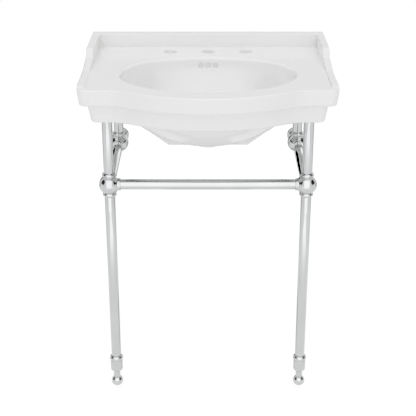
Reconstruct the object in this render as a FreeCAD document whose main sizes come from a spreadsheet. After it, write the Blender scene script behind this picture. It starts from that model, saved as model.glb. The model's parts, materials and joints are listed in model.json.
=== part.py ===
import FreeCAD, Part
import math
import os
import re
import Sketcher
from FreeCAD import Placement, Rotation, Vector

# Console sink with legs. Millimetres, +Z up, the floor at Z = 0, the middle of the sink at X = 0 and the
# middle of its depth at Y = 0. The wall is at positive Y, the user stands at negative Y.
# Left and right are as seen by the user.

NODES_FOLDER = "parts"
SIDES = (("left", -1), ("right", 1))
NEAR = 1e-3

SIZES = {
    # the basin's plan
    "basin_width": 635,
    "basin_depth": 508,
    "deck_height": 865,
    "bow_projection": 67.5,
    "bow_half_width": 248,
    "bow_radius": 400,
    "corner_radius": 16,
    # the apron under the deck, in two tiers
    "upper_tier_height": 44,
    "upper_tier_draft": 5,
    "tier_step": 17,
    "lower_tier_height": 49,
    "lower_tier_draft": 8,
    "tier_round": 7,
    "rim_round": 4,
    # the walls of the casting
    "china_wall": 12,
    "deck_thickness": 13,
    "back_wall": 16,
    # the backsplash and the side splashes
    "splash_height": 35,
    "splash_thickness": 27,
    "side_splash_thickness": 18.5,
    "side_crest_length": 181,
    "side_knee_setback": 203,
    "side_knee_height": 17,
    "side_foot_setback": 288,
    "side_rim_height": 4,
    "side_rim_end": 20,
    "sweep_round": 24,
    "foot_round": 60,
    # the bowl
    "bowl_length": 444,
    "bowl_breadth": 314,
    "bowl_depth": 162,
    "bowl_setback": 294,
    "bowl_rim_round": 9,
    "bowl_flank": 24,
    "bowl_base": 24,
    "drain_setback": 278,
    "drain_hole": 45,
    "drain_boss": 70,
    "drain_boss_depth": 192,
    "drain_boss_root": 124,
    "rib_root": 110,
    "rib_shoulder": 146,
    "rib_bottom": 190,
    "rib_half_length": 102,
    "rib_flare": 59.5,
    "rib_thickness": 40,
    # the faucet holes
    "faucet_hole": 34.9,
    "faucet_pitch": 101.6,
    "faucet_setback": 82,
    # the overflow
    "overflow_hole": 15,
    "overflow_pitch": 19.4,
    "overflow_drop": 23,
    "overflow_bore": 16,
    "overflow_gap": 19,
    "overflow_wall": 9,
    "overflow_first_angle": 3,
    "overflow_passage_angle": 7,
    "overflow_duct_angle": 78,
    "overflow_last_angle": 82,
    "overflow_hole_length": 60,
    # the holes for the wall fixings
    "fixing_hole": 12,
    "fixing_pitch": 280,
    "fixing_drop": 62,
    # the stand
    "tube_diameter": 26,
    "tube_wall": 1.5,
    "leg_inset": 66.5,
    "front_leg_setback": 382,
    "rear_post_setback": 65,
    "joint_height": 598.5,
    "ball_diameter": 52,
    "socket_diameter": 31,
    "socket_floor": 15,
    "bead_reach": 31,
    "bead_width": 9,
    "bead_round": 5.5,
    "rail_socket_reach": 28,
    "socket_fit": 0.05,
    "tube_end_gap": 0.2,
    # the tops of the tubes
    "pad_wall": 2.5,
    "pad_top": 4,
    "pad_skirt": 18,
    "pad_recess_floor": 22,
    "pad_recess_gap": 0.4,
    "pad_boss_wall": 5.5,
    "pad_boss_depth": 44,
    # the wall flanges
    "flange_diameter": 46,
    "flange_step_diameter": 39,
    "flange_base": 5,
    "flange_depth": 17,
    "flange_wall": 3,
    "flange_edge": 2.5,
    "flange_collar": 5,
    "flange_dome": 9,
    "anchor_diameter": 34,
    "anchor_plate": 4,
    "anchor_gap": 0.3,
    "anchor_spigot": 14,
    "anchor_hole": 6.5,
    "anchor_sink": 13,
    "anchor_sink_depth": 6,
    # the feet
    "ferrule_bottom": 47,
    "ferrule_top": 95,
    "ferrule_diameter": 33,
    "ferrule_bead_height": 13,
    "ferrule_bead_round": 9,
    "ferrule_lip": 1,
    "ferrule_taper": 9,
    "ferrule_shoulder": 10,
    "ferrule_seat": 66,
    "neck_diameter": 18,
    "neck_top": 49,
    "neck_gap": 0.5,
    "foot_diameter": 31.5,
    "foot_flat": 12,
    "foot_facet_gap": 0.3,
    "neck_seat_gap": 0.3,
    "stud_diameter": 10,
    "stud_length": 56,
    "stud_gap": 0.3,
    "spigot_depth": 16,
    "spigot_fit": 0.05,
    "insert_length": 24,
    "insert_fit": 0.03,
    # the set screws
    "grub_diameter": 4,
    "grub_length": 3,
    "grub_socket": 2.3,
    "grub_socket_depth": 2,
    "grub_fit": 0.05,
    "grub_hole_length": 9,
    "grub_edge": 1,
    # how far a hollow is cut past the face that it opens
    "cut_past": 1,
}

doc = FreeCAD.newDocument("console_sink")
sheet = doc.addObject("Spreadsheet::Sheet", "Sizes")
for row, (alias, value) in enumerate(SIZES.items(), start=1):
    sheet.set("A%d" % row, alias.replace("_", " "))
    sheet.set("B%d" % row, str(value))
    sheet.setAlias("B%d" % row, alias)
doc.recompute()


def linked(expression):
    """The expression with each size's name pointing at its cell."""
    return re.sub(r"[a-z]+(?:_[a-z]+)+", lambda word: "Sizes." + word.group(), str(expression))


def size(expression):
    """The present value of an expression of sizes."""
    value = sheet.evalExpression(linked(expression))
    return float(getattr(value, "Value", value))


def bind(item, **values):
    """Ties an object's properties to expressions of sizes."""
    for name, expression in values.items():
        item.setExpression(name, linked(expression))
    return item


def place(item, across="0", along="0", up="0", turn=None):
    """Puts an object at expressions of sizes, turned by a fixed rotation."""
    if turn:
        item.Placement = Placement(Vector(), turn)
    for axis, expression in zip("xyz", (across, along, up)):
        item.setExpression("Placement.Base." + axis, linked(expression))
    return item


# Where things are, as expressions of the sizes.
WALL = "(basin_depth / 2)"
FRONT_CORNER = "(bow_projection - basin_depth / 2)"
FRONT_LEG = "(basin_depth / 2 - front_leg_setback)"
REAR_POST = "(basin_depth / 2 - rear_post_setback)"
LEG = "(basin_width / 2 - leg_inset)"
TUBE = "(tube_diameter / 2)"
SOCKET_BORE = "(tube_diameter / 2 + socket_fit)"
TUBE_START = "(socket_floor + tube_end_gap)"
BOWL = "(basin_depth / 2 - bowl_setback)"
DRAIN = "(basin_depth / 2 - drain_setback)"
OVERFLOW_REACH = "(bowl_breadth / 2 + overflow_gap)"
PAD_TOP = "(deck_height - pad_recess_floor)"
TUBE_TOP = "(deck_height - pad_recess_floor - pad_top)"
PAD_RADIUS = "(tube_diameter / 2 + pad_wall)"
BALL = "(ball_diameter / 2)"
SOCKET = "(socket_diameter / 2)"

ALONG_X = Rotation(Vector(0, 1, 0), 90)
ALONG_Y = Rotation(Vector(1, 0, 0), -90)
UP = Rotation()
DOWN = Rotation(Vector(1, 0, 0), 180)


# --- sketches ---------------------------------------------------------------------------------------------

def origin_plane(body, role):
    """The body's own origin plane with this role."""
    return next(item for item in body.Origin.OriginFeatures if item.Role == role)


def sketch(body, name, role, start, path, lift="0"):
    """A closed outline on an origin plane, with every corner and radius bound to the sizes.

    The path's steps are (x, y) for a line and (x, y, radius) for an arc of under a half circle,
    which swells to the right of the way the path runs, or to its left with a radius that starts with minus.
    """
    item = body.newObject("Sketcher::SketchObject", name)
    item.AttachmentSupport = (origin_plane(body, role), [""])
    item.MapMode = "FlatFace"
    item.setExpression("AttachmentOffset.Base.z", linked(lift))
    corners = [start] + [step[:2] for step in path]
    points = [Vector(size(x), size(y), 0) for x, y in corners]
    closed = (points[-1] - points[0]).Length < 1e-6
    ends = []
    for index, step in enumerate(path):
        first, last = points[index], points[index + 1]
        if len(step) == 2:
            geometry = Part.LineSegment(first, last)
        else:
            leftward = step[2].startswith("-")
            radius = abs(size(step[2]))
            chord = last - first
            rise = radius - math.sqrt(radius ** 2 - chord.Length ** 2 / 4)
            normal = Vector(-chord.y, chord.x, 0).normalize() * (rise if leftward else -rise)
            middle = (first + last) / 2 + normal
            geometry = Part.Arc(last, middle, first) if leftward else Part.Arc(first, middle, last)
        item.addGeometry(geometry, False)
        flipped = (item.Geometry[index].StartPoint - first).Length > 1e-5
        ends.append((2, 1) if flipped else (1, 2))
    for index, step in enumerate(path):
        following = (index + 1) % len(path)
        if index + 1 < len(path) or closed:
            joint = (index, ends[index][1], following, ends[following][0])
            item.addConstraint(Sketcher.Constraint("Coincident", *joint))
        x, y = corners[index]
        for kind, expression in (("DistanceX", x), ("DistanceY", y)):
            pin = (-1, 1, index, ends[index][0], size(expression))
            number = item.addConstraint(Sketcher.Constraint(kind, *pin))
            item.setExpression("Constraints[%d]" % number, linked(expression))
        if len(step) == 3:
            radius = step[2].lstrip("-")
            number = item.addConstraint(Sketcher.Constraint("Radius", index, size(radius)))
            item.setExpression("Constraints[%d]" % number, linked(radius))
    return item


def circle(body, name, role, across, along, radius, lift="0"):
    """A circle on an origin plane, bound to the sizes."""
    item = body.newObject("Sketcher::SketchObject", name)
    item.AttachmentSupport = (origin_plane(body, role), [""])
    item.MapMode = "FlatFace"
    item.setExpression("AttachmentOffset.Base.z", linked(lift))
    middle = Vector(size(across), size(along), 0)
    item.addGeometry(Part.Circle(middle, Vector(0, 0, 1), size(radius)), False)
    for kind, expression in (("DistanceX", across), ("DistanceY", along)):
        number = item.addConstraint(Sketcher.Constraint(kind, -1, 1, 0, 3, size(expression)))
        item.setExpression("Constraints[%d]" % number, linked(expression))
    number = item.addConstraint(Sketcher.Constraint("Radius", 0, size(radius)))
    item.setExpression("Constraints[%d]" % number, linked(radius))
    return item


def new_body(node):
    body = doc.addObject("PartDesign::Body", node)
    body.Label = node
    return body


def turned(node, start, path):
    """A body turned about Z from half its section, drawn on the XZ plane."""
    body = new_body(node)
    profile = sketch(body, node + "_profile", "XZ_Plane", start, path)
    turn = body.newObject("PartDesign::Revolution", node + "_turn")
    turn.Profile = profile
    turn.ReferenceAxis = (profile, ["V_Axis"])
    turn.Angle = 360
    return body


# --- primitives and booleans ------------------------------------------------------------------------------

def cylinder(name, radius, length, across="0", along="0", up="0", turn=UP):
    item = doc.addObject("Part::Cylinder", name)
    bind(item, Radius=radius, Height=length)
    return place(item, across, along, up, turn)


def named(item, node):
    item.Label = node
    return item


def cut(node, base, tools):
    """The base with all the tools cut away."""
    if len(tools) > 1:
        tool = doc.addObject("Part::MultiFuse", node + "_tools")
        tool.Shapes = tools
    else:
        tool = tools[0]
    item = doc.addObject("Part::Cut", node)
    item.Base = base
    item.Tool = tool
    return named(item, node)


def tube(node, length, across, along, up, turn):
    """A length of the stand's tube, from a point along the turned Z axis."""
    outside = cylinder(node + "_outside", TUBE, length)
    inside = cylinder(node + "_inside", "tube_diameter / 2 - tube_wall", length)
    item = cut(node, outside, [inside])
    return place(item, across, along, up, turn)


nodes = []


def keep(item):
    nodes.append(item)
    return item


# --- the basin --------------------------------------------------------------------------------------------

APRON = "(upper_tier_height + lower_tier_height)"
BOW_ANGLE = "(2 * atan(bow_projection / bow_half_width))"
HOLLOW_RADIUS = "(bow_half_width / sin%s - bow_radius)" % BOW_ANGLE


def basin_outline(inset, back):
    """The plan drawn in by an inset: straight front ends, a hollow sweep, the bow, and back again."""
    side = "(basin_width / 2 - %s)" % inset
    front = "(%s + %s)" % (FRONT_CORNER, inset)
    bow = "(bow_radius - %s)" % inset
    hollow = "(%s + %s)" % (HOLLOW_RADIUS, inset)
    join_x = "(%s * sin%s)" % (bow, BOW_ANGLE)
    join_y = "(bow_radius - basin_depth / 2 - %s * cos%s)" % (bow, BOW_ANGLE)
    start = ("-" + side, back)
    path = [
        ("-" + side, front + " + corner_radius"),
        ("-" + side + " + corner_radius", front, "corner_radius"),
        ("-bow_half_width", front),
        ("-" + join_x, join_y, "-" + hollow),
        (join_x, join_y, bow),
        ("bow_half_width", front, "-" + hollow),
        (side + " - corner_radius", front),
        (side, front + " + corner_radius", "corner_radius"),
        (side, back),
        start,
    ]
    return start, path


def loft(body, name, kind, sections):
    """A straight-sided loft between two outlines at two heights."""
    item = body.newObject(kind, name)
    item.Profile = sections[0]
    item.Sections = sections[1:]
    item.Ruled = True
    return item


def tier(body, name, kind, top, bottom, top_inset, bottom_inset, back):
    """One tier of the apron or of the hollow in it, between two depths below the deck."""
    sections = []
    for label, depth, inset in (("top", top, top_inset), ("bottom", bottom, bottom_inset)):
        start, path = basin_outline(inset, back)
        sections.append(sketch(body, "%s_%s" % (name, label), "XY_Plane", start, path, "-(%s)" % depth))
    return loft(body, name, kind, sections)


def padded(body, name, kind, profile, length, reverse=False, middle=False):
    """A pad or pocket along its sketch's normal, or against it."""
    item = body.newObject(kind, name)
    item.Profile = profile
    item.Type = 0
    bind(item, Length=length)
    item.Reversed = reverse
    item.Midplane = middle
    return item


def ellipsoid(body, name, kind, base="0", flank="0", front="0"):
    """The bowl's lower half ellipsoid, grown at its base, at its ends, and at its front and back."""
    item = body.newObject(kind, name)
    bind(item, Radius1="bowl_depth + " + base, Radius2="bowl_length / 2 + " + flank)
    bind(item, Radius3="bowl_breadth / 2 + " + front)
    item.Angle1 = -90
    item.Angle2 = 0
    return place(item, "0", BOWL, "0")


def edges_where(shape, test):
    """The names of the edges on which every sampled point meets a test."""
    return ["Edge%d" % number for number, edge in enumerate(shape.Edges, start=1)
            if not edge.Degenerated and all(test(point) for point in edge.discretize(Number=5))]


def rounded(body, name, radius, test):
    """A fillet on the tip's edges that meet a test."""
    doc.recompute()
    base = body.Tip
    item = body.newObject("PartDesign::Fillet", name)
    item.Base = (base, edges_where(base.Shape, test))
    return bind(item, Radius=radius)


def level_at(depth):
    """A test for points at a depth below the deck and clear of the wall."""
    height = -size(depth)
    wall = size(WALL)
    return lambda point: abs(point.z - height) < NEAR and point.y < wall - NEAR


def on_line_across(setback, height):
    """A test for points on a line along X at a distance from the wall and a height over the deck."""
    along = size(WALL) - size(setback)
    level = size(height)
    return lambda point: abs(point.y - along) < NEAR and abs(point.z - level) < NEAR


def on_bowl_rim(point):
    across = point.x / size("bowl_length / 2")
    along = (point.y - size(BOWL)) / size("bowl_breadth / 2")
    return abs(point.z) < NEAR and abs(across ** 2 + along ** 2 - 1) < NEAR


def make_basin():
    """The ceramic casting. Its own zero is the middle of the deck."""
    body = new_body("basin")
    lower_inset = "(upper_tier_draft + tier_step)"
    tier(body, "upper_tier", "PartDesign::AdditiveLoft", "0", "upper_tier_height",
         "0", "upper_tier_draft", WALL)
    rounded(body, "upper_tier_round", "tier_round", level_at("upper_tier_height"))
    rounded(body, "deck_edge", "rim_round", level_at("0"))
    tier(body, "lower_tier", "PartDesign::AdditiveLoft", "upper_tier_height", APRON,
         lower_inset, "(%s + lower_tier_draft)" % lower_inset, WALL)
    rounded(body, "lower_tier_round", "tier_round", level_at(APRON))

    # the hollow under the deck
    back = "(basin_depth / 2 - back_wall)"
    tier(body, "upper_hollow", "PartDesign::SubtractiveLoft", "deck_thickness",
         "upper_tier_height - china_wall", "china_wall", "(china_wall + upper_tier_draft)", back)
    tier(body, "lower_hollow", "PartDesign::SubtractiveLoft",
         "upper_tier_height - china_wall - cut_past", APRON + " + cut_past",
         "(%s + china_wall)" % lower_inset, "(%s + lower_tier_draft + china_wall)" % lower_inset, back)

    # the bowl, its drain boss and the rib that crosses it
    ellipsoid(body, "bowl_shell", "PartDesign::AdditiveEllipsoid", "bowl_base", "bowl_flank", "china_wall")
    boss = circle(body, "drain_boss_circle", "XY_Plane", "0", DRAIN, "drain_boss / 2", "-drain_boss_root")
    boss_length = "drain_boss_depth - drain_boss_root"
    padded(body, "drain_boss_pad", "PartDesign::Pad", boss, boss_length, reverse=True)
    rib_end = "(rib_half_length + rib_flare)"
    rib_start = ("-rib_half_length", "-rib_bottom")
    rib = [("rib_half_length", "-rib_bottom"), (rib_end, "-rib_shoulder"), (rib_end, "-rib_root"),
           ("-" + rib_end, "-rib_root"), ("-" + rib_end, "-rib_shoulder"), rib_start]
    rib_face = sketch(body, "rib_face", "XZ_Plane", rib_start, rib, "-" + DRAIN)
    padded(body, "setting_rib", "PartDesign::Pad", rib_face, "rib_thickness", middle=True)

    # the bosses that stand on the stand's tubes
    for label, along in (("front", FRONT_LEG), ("rear", REAR_POST)):
        for side, sign in SIDES:
            spot = circle(body, "%s_boss_circle_%s" % (label, side), "XY_Plane", "%d * %s" % (sign, LEG),
                          along, PAD_RADIUS + " + pad_recess_gap + pad_boss_wall", "-deck_thickness / 2")
            padded(body, "%s_boss_%s" % (label, side), "PartDesign::Pad", spot,
                   "pad_boss_depth - deck_thickness / 2", reverse=True)

    # the overflow: a bent duct behind the bowl, from under the deck to the drain boss
    duct = "(overflow_bore / 2 + overflow_wall)"
    bore = "overflow_bore / 2"
    overflow_ring(body, "duct", "PartDesign::AdditiveTorus", duct, "overflow_first_angle",
                  "overflow_duct_angle")
    overflow_header(body, "duct_header", "PartDesign::AdditiveCylinder", duct)
    ellipsoid(body, "bowl_inside", "PartDesign::SubtractiveEllipsoid")
    rounded(body, "bowl_rim", "bowl_rim_round", on_bowl_rim)
    overflow_ring(body, "passage", "PartDesign::SubtractiveTorus", bore, "overflow_passage_angle",
                  "overflow_last_angle")
    overflow_header(body, "passage_header", "PartDesign::SubtractiveCylinder", bore)
    for number in (-1, 0, 1):
        hole = body.newObject("PartDesign::SubtractiveCylinder", "overflow_hole_%d" % (number + 2))
        bind(hole, Radius="overflow_hole / 2", Height="overflow_hole_length")
        place(hole, "%d * overflow_pitch" % number, "%s + %s - overflow_hole_length" % (BOWL, OVERFLOW_REACH),
              "-overflow_drop", ALONG_Y)

    # the holes: drain, faucet, the tubes' recesses and the wall fixings
    drain = circle(body, "drain_circle", "XY_Plane", "0", DRAIN, "drain_hole / 2")
    padded(body, "drain_bore", "PartDesign::Pocket", drain, "drain_boss_depth + cut_past")
    for number in (-1, 0, 1):
        spot = circle(body, "faucet_circle_%d" % (number + 2), "XY_Plane", "%d * faucet_pitch" % number,
                      "basin_depth / 2 - faucet_setback", "faucet_hole / 2")
        padded(body, "faucet_bore_%d" % (number + 2), "PartDesign::Pocket", spot, "deck_thickness + cut_past")
    for label, along in (("front", FRONT_LEG), ("rear", REAR_POST)):
        for side, sign in SIDES:
            spot = circle(body, "%s_recess_circle_%s" % (label, side), "XY_Plane", "%d * %s" % (sign, LEG),
                          along, PAD_RADIUS + " + pad_recess_gap", "-pad_recess_floor")
            padded(body, "%s_recess_%s" % (label, side), "PartDesign::Pocket", spot,
                   APRON + " + cut_past - pad_recess_floor")
    for side, sign in SIDES:
        fixing = body.newObject("PartDesign::SubtractiveCylinder", "fixing_hole_" + side)
        bind(fixing, Radius="fixing_hole / 2", Height="back_wall + 2 * cut_past")
        inside = WALL + " - back_wall - cut_past"
        place(fixing, "%d * fixing_pitch / 2" % sign, inside, "-fixing_drop", ALONG_Y)

    # the backsplash and the side splashes
    back_edge = [("-basin_width / 2", WALL), ("basin_width / 2", WALL),
                 ("basin_width / 2", WALL + " - splash_thickness"),
                 ("-basin_width / 2", WALL + " - splash_thickness"), ("-basin_width / 2", WALL)]
    back_plan = sketch(body, "backsplash_plan", "XY_Plane", back_edge[0], back_edge[1:])
    padded(body, "backsplash", "PartDesign::Pad", back_plan, "splash_height")
    for side, sign in SIDES:
        rim_front = FRONT_CORNER + " + side_rim_end"
        section = [(WALL, "-rim_round"), (WALL, "splash_height"),
                   (WALL + " - side_crest_length", "splash_height"),
                   (WALL + " - side_knee_setback", "side_knee_height"),
                   (WALL + " - side_foot_setback", "side_rim_height"),
                   (rim_front + " + side_rim_height + rim_round", "side_rim_height"),
                   (rim_front, "-rim_round"), (WALL, "-rim_round")]
        face = sketch(body, "side_splash_face_" + side, "YZ_Plane", section[0], section[1:],
                      "%d * basin_width / 2" % sign)
        padded(body, "side_splash_" + side, "PartDesign::Pad", face, "side_splash_thickness",
               reverse=(sign > 0))
    rounded(body, "side_crest", "sweep_round", on_line_across("side_crest_length", "splash_height"))
    rounded(body, "side_knee", "sweep_round", on_line_across("side_knee_setback", "side_knee_height"))
    rounded(body, "side_foot", "foot_round", on_line_across("side_foot_setback", "side_rim_height"))
    return body


def overflow_ring(body, name, kind, radius, first_angle, last_angle):
    """A stretch of ring about the bowl's long axis, between two angles below the deck, behind the bowl."""
    item = body.newObject(kind, name)
    bind(item, Radius1=OVERFLOW_REACH, Radius2=radius, Angle3="%s - %s" % (last_angle, first_angle))
    from_wall_down = Rotation(Vector(0, 1, 0), Vector(0, 0, -1), Vector(-1, 0, 0), "XYZ")
    return place(item, "0", BOWL, "0", Rotation(Vector(1, 0, 0), -size(first_angle)) * from_wall_down)


def overflow_header(body, name, kind, radius):
    """A level cylinder behind the bowl, as long as the row of overflow holes."""
    reach = "overflow_pitch + " + radius
    item = body.newObject(kind, name)
    bind(item, Radius=radius, Height="2 * (%s)" % reach)
    return place(item, "-(%s)" % reach, "%s + %s" % (BOWL, OVERFLOW_REACH), "-overflow_drop", ALONG_X)


# --- the set screws ---------------------------------------------------------------------------------------

OUTWARD = {"back": (ALONG_Y, (0, 1, 0)), "below": (DOWN, (0, 0, -1))}


def radial(name, radius, start, length, spot, way):
    """A cylinder that points away from a tube's axis at a spot, from a distance off that axis."""
    turn, direction = OUTWARD[way]
    across, along, up = ("%s + %d * (%s)" % (base, step, start) for base, step in zip(spot, direction))
    return cylinder(name, radius, length, across, along, up, turn)


def screw_hole(name, spot, way):
    """The tapped hole from inside a socket out through its wall."""
    return radial(name, "grub_diameter / 2 + grub_fit", TUBE + " - grub_fit", "grub_hole_length", spot, way)


def screw(name, spot, way):
    """A set screw whose point touches the tube, with a hexagon socket in its outer end."""
    body = radial(name + "_body", "grub_diameter / 2", TUBE, "grub_length", spot, way)
    key = doc.addObject("Part::Prism", name + "_key")
    key.Polygon = 6
    bind(key, Circumradius="grub_socket / 2", Height="grub_socket_depth + cut_past")
    turn, direction = OUTWARD[way]
    reach = "(%s + grub_length - grub_socket_depth)" % TUBE
    place(key, *("%s + %d * %s" % (base, step, reach) for base, step in zip(spot, direction)), turn=turn)
    item = doc.addObject("Part::Cut", name)
    item.Base = body
    item.Tool = key
    return item


def shifted(spot, across="0", along="0", up="0"):
    return tuple("%s + %s" % (base, step) for base, step in zip(spot, (across, along, up)))


# --- the stand --------------------------------------------------------------------------------------------

SOCKET_MIDDLE = "(bead_reach - bead_width / 2)"
RAIL_SCREW = "(rail_socket_reach - grub_diameter / 2 - grub_edge)"
ORIGIN = ("0", "0", "0")
screws = []


def joint_profile(lower_socket):
    """Half the section of a ball with a beaded socket above it, and one below or a plain ball there."""
    meet = "sqrt(pow(%s; 2) - pow(%s; 2))" % (BALL, SOCKET)
    neck = "(bead_reach - bead_width)"
    top = [(SOCKET, neck), (SOCKET, "bead_reach", "bead_round"), ("0", "bead_reach")]
    if lower_socket:
        start = ("0", "-bead_reach")
        path = [(SOCKET, "-bead_reach"), (SOCKET, "-" + neck, "bead_round"), (SOCKET, "-" + meet),
                (SOCKET, meet, BALL)]
    else:
        start = ("0", "-" + BALL)
        path = [(SOCKET, meet, BALL)]
    return start, path + top + [start]


def ball_joint(node, spot, upright_sockets, rail_sockets):
    """A turned ball with bored sockets; each set screw enters from the back or from below."""
    start, path = joint_profile("down" in upright_sockets)
    ball = turned(node + "_ball", start, path)
    solids = [ball]
    tools = []
    depth = "(bead_reach - socket_floor + cut_past)"
    for way in upright_sockets:
        sign = 1 if way == "up" else -1
        tools.append(cylinder("%s_bore_%s" % (node, way), SOCKET_BORE, depth, "0", "0",
                              "%d * socket_floor" % sign, UP if sign > 0 else DOWN))
        height = "%d * %s" % (sign, SOCKET_MIDDLE)
        tools.append(screw_hole("%s_tap_%s" % (node, way), shifted(ORIGIN, up=height), "back"))
        screws.append(screw("%s_screw_%s" % (node, way), shifted(spot, up=height), "back"))
    for way, (turn, x, y) in rail_sockets.items():
        solids.append(cylinder("%s_socket_%s" % (node, way), SOCKET, "rail_socket_reach", turn=turn))
        tools.append(cylinder("%s_bore_%s" % (node, way), SOCKET_BORE, depth,
                              "%d * socket_floor" % x, "%d * socket_floor" % y, "0", turn))
        off = ("%d * %s" % (x, RAIL_SCREW), "%d * %s" % (y, RAIL_SCREW))
        tools.append(screw_hole("%s_tap_%s" % (node, way), shifted(ORIGIN, *off), "below"))
        screws.append(screw("%s_screw_%s" % (node, way), shifted(spot, *off), "below"))
    whole = doc.addObject("Part::MultiFuse", node + "_solid")
    whole.Shapes = solids
    return place(cut(node, whole, tools), *spot)


TO_RIGHT = (ALONG_X, 1, 0)
TO_LEFT = (Rotation(Vector(0, 1, 0), -90), -1, 0)
TO_WALL = (ALONG_Y, 0, 1)
TO_USER = (Rotation(Vector(1, 0, 0), 90), 0, -1)


def make_stand(side, sign):
    """One side of the stand: its joints, tubes and the wall flange."""
    across = "%d * %s" % (sign, LEG)
    front = (across, FRONT_LEG, "joint_height")
    rear = (across, REAR_POST, "joint_height")
    inward = TO_LEFT if sign > 0 else TO_RIGHT
    keep(ball_joint("front_ball_joint_" + side, front, ("up", "down"), {"rail": inward, "side": TO_WALL}))
    keep(ball_joint("rear_ball_joint_" + side, rear, ("up",), {"side": TO_USER, "wall": TO_WALL}))
    above = "joint_height + " + TUBE_START
    below = "(joint_height - %s)" % TUBE_START
    upright = "%s - (%s)" % (TUBE_TOP, above)
    keep(tube("front_upper_tube_" + side, upright, across, FRONT_LEG, above, UP))
    keep(tube("rear_post_" + side, upright, across, REAR_POST, above, UP))
    keep(tube("front_lower_tube_" + side, below + " - ferrule_seat", across, FRONT_LEG, "ferrule_seat", UP))
    keep(tube("side_rail_" + side, "front_leg_setback - rear_post_setback - 2 * " + TUBE_START, across,
              FRONT_LEG + " + " + TUBE_START, "joint_height", ALONG_Y))
    keep(tube("wall_stub_" + side, "rear_post_setback - %s - anchor_plate" % TUBE_START, across,
              REAR_POST + " + " + TUBE_START, "joint_height", ALONG_Y))
    for label, along in (("front", FRONT_LEG), ("rear", REAR_POST)):
        keep(support_pad("%s_support_pad_%s" % (label, side), across, along))
    keep(wall_anchor("wall_anchor_" + side, across))
    keep(wall_flange("wall_flange_" + side, across))


def support_pad(node, across, along):
    """A rubber cap over a tube's upper end."""
    rim = "-pad_skirt"
    ceiling = "-pad_top"
    start = ("0", "0")
    path = [("0", ceiling), (SOCKET_BORE, ceiling), (SOCKET_BORE, rim), (PAD_RADIUS, rim),
            (PAD_RADIUS, "0"), start]
    return place(turned(node, start, path), across, along, PAD_TOP)


def wall_anchor(node, across):
    """The plug that a wall screw holds, inside the stub's end."""
    spigot = "(tube_diameter / 2 - tube_wall - socket_fit)"
    end = "(anchor_plate + anchor_spigot)"
    hole = "anchor_hole / 2"
    sink = "anchor_sink / 2"
    start = (hole, "0")
    path = [("anchor_diameter / 2", "0"), ("anchor_diameter / 2", "anchor_plate"), (spigot, "anchor_plate"),
            (spigot, end), (sink, end), (sink, end + " - anchor_sink_depth"),
            (hole, end + " - anchor_sink_depth"), start]
    return place(turned(node, start, path), across, WALL, "joint_height", TO_USER[0])


def wall_flange(node, across):
    """The stepped rose that covers the anchor and grips the stub with a set screw."""
    room = "(anchor_diameter / 2 + anchor_gap)"
    step = "flange_step_diameter / 2"
    shoulder = "(flange_depth - flange_collar)"
    start = (room, "0")
    path = [("flange_diameter / 2", "0"), ("flange_diameter / 2", "flange_edge"),
            (step, "flange_base", "flange_base"), (SOCKET, shoulder, "flange_dome"),
            (SOCKET, "flange_depth"), (SOCKET_BORE, "flange_depth"),
            (SOCKET_BORE, "anchor_plate + flange_wall + anchor_gap"), (room, "anchor_plate + anchor_gap"),
            start]
    rose = place(turned(node + "_rose", start, path), across, WALL, "joint_height", TO_USER[0])
    spot = (across, "%s - flange_depth + flange_collar / 2" % WALL, "joint_height")
    screws.append(screw(node + "_screw", spot, "below"))
    return cut(node, rose, [screw_hole(node + "_tap", spot, "below")])


# --- the feet ---------------------------------------------------------------------------------------------

def make_foot(side, sign):
    """The ferrule and threaded bush on the leg, and the stem and ball that level it."""
    across = "%d * %s" % (sign, LEG)
    spot = (across, FRONT_LEG, "0")
    neck_bore = "(neck_diameter / 2 + neck_gap)"
    outer = "ferrule_diameter / 2"
    bead = "(ferrule_top - ferrule_bead_height)"
    start = (neck_bore, "ferrule_bottom")
    path = [("%s + ferrule_lip" % neck_bore, "ferrule_bottom"),
            (outer, "ferrule_bottom + ferrule_taper", "ferrule_shoulder"), (outer, bead),
            (SOCKET_BORE + " + ferrule_lip", "ferrule_top", "ferrule_bead_round"),
            (SOCKET_BORE, "ferrule_top"), (SOCKET_BORE, "ferrule_seat"), (neck_bore, "ferrule_seat"), start]
    turning = place(turned("leg_ferrule_%s_turning" % side, start, path), across, FRONT_LEG)
    screw_spot = (across, FRONT_LEG, "ferrule_top - ferrule_bead_height - grub_diameter")
    screws.append(screw("leg_ferrule_%s_screw" % side, screw_spot, "back"))
    keep(cut("leg_ferrule_" + side, turning, [screw_hole("leg_ferrule_%s_tap" % side, screw_spot, "back")]))

    bush = "(tube_diameter / 2 - tube_wall - insert_fit)"
    bore = "(stud_diameter / 2 + stud_gap)"
    top = "ferrule_seat + insert_length"
    start = (bore, "ferrule_seat")
    path = [(bush, "ferrule_seat"), (bush, top), (bore, top), start]
    keep(place(turned("thread_insert_" + side, start, path), across, FRONT_LEG))

    stud = "stud_diameter / 2"
    ball = "(foot_diameter / 2)"
    flat = "(foot_flat / 2)"
    middle = "sqrt(pow(%s; 2) - pow(%s; 2))" % (ball, flat)
    facet = "(neck_diameter / 2 + foot_facet_gap)"
    facet_height = "(%s + sqrt(pow(%s; 2) - pow(%s; 2)))" % (middle, ball, facet)
    pocket = "(%s - spigot_depth)" % facet_height
    swivel = "(stud_diameter / 2 + spigot_fit)"
    start = ("0", "0")
    path = [(flat, "0"), (facet, facet_height, ball), (swivel, facet_height), (swivel, pocket),
            ("0", pocket), start]
    keep(place(turned("foot_ball_" + side, start, path), across, FRONT_LEG))

    neck = "neck_diameter / 2"
    neck_base = "(%s + neck_seat_gap)" % facet_height
    spigot_end = "(%s + neck_seat_gap)" % pocket
    start = ("0", spigot_end)
    path = [(stud, spigot_end), (stud, neck_base), (neck, neck_base), (neck, "neck_top"),
            (stud, "neck_top"), (stud, "neck_top + stud_length"), ("0", "neck_top + stud_length"), start]
    keep(place(turned("foot_stem_" + side, start, path), across, FRONT_LEG))


# --- everything -------------------------------------------------------------------------------------------

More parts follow.
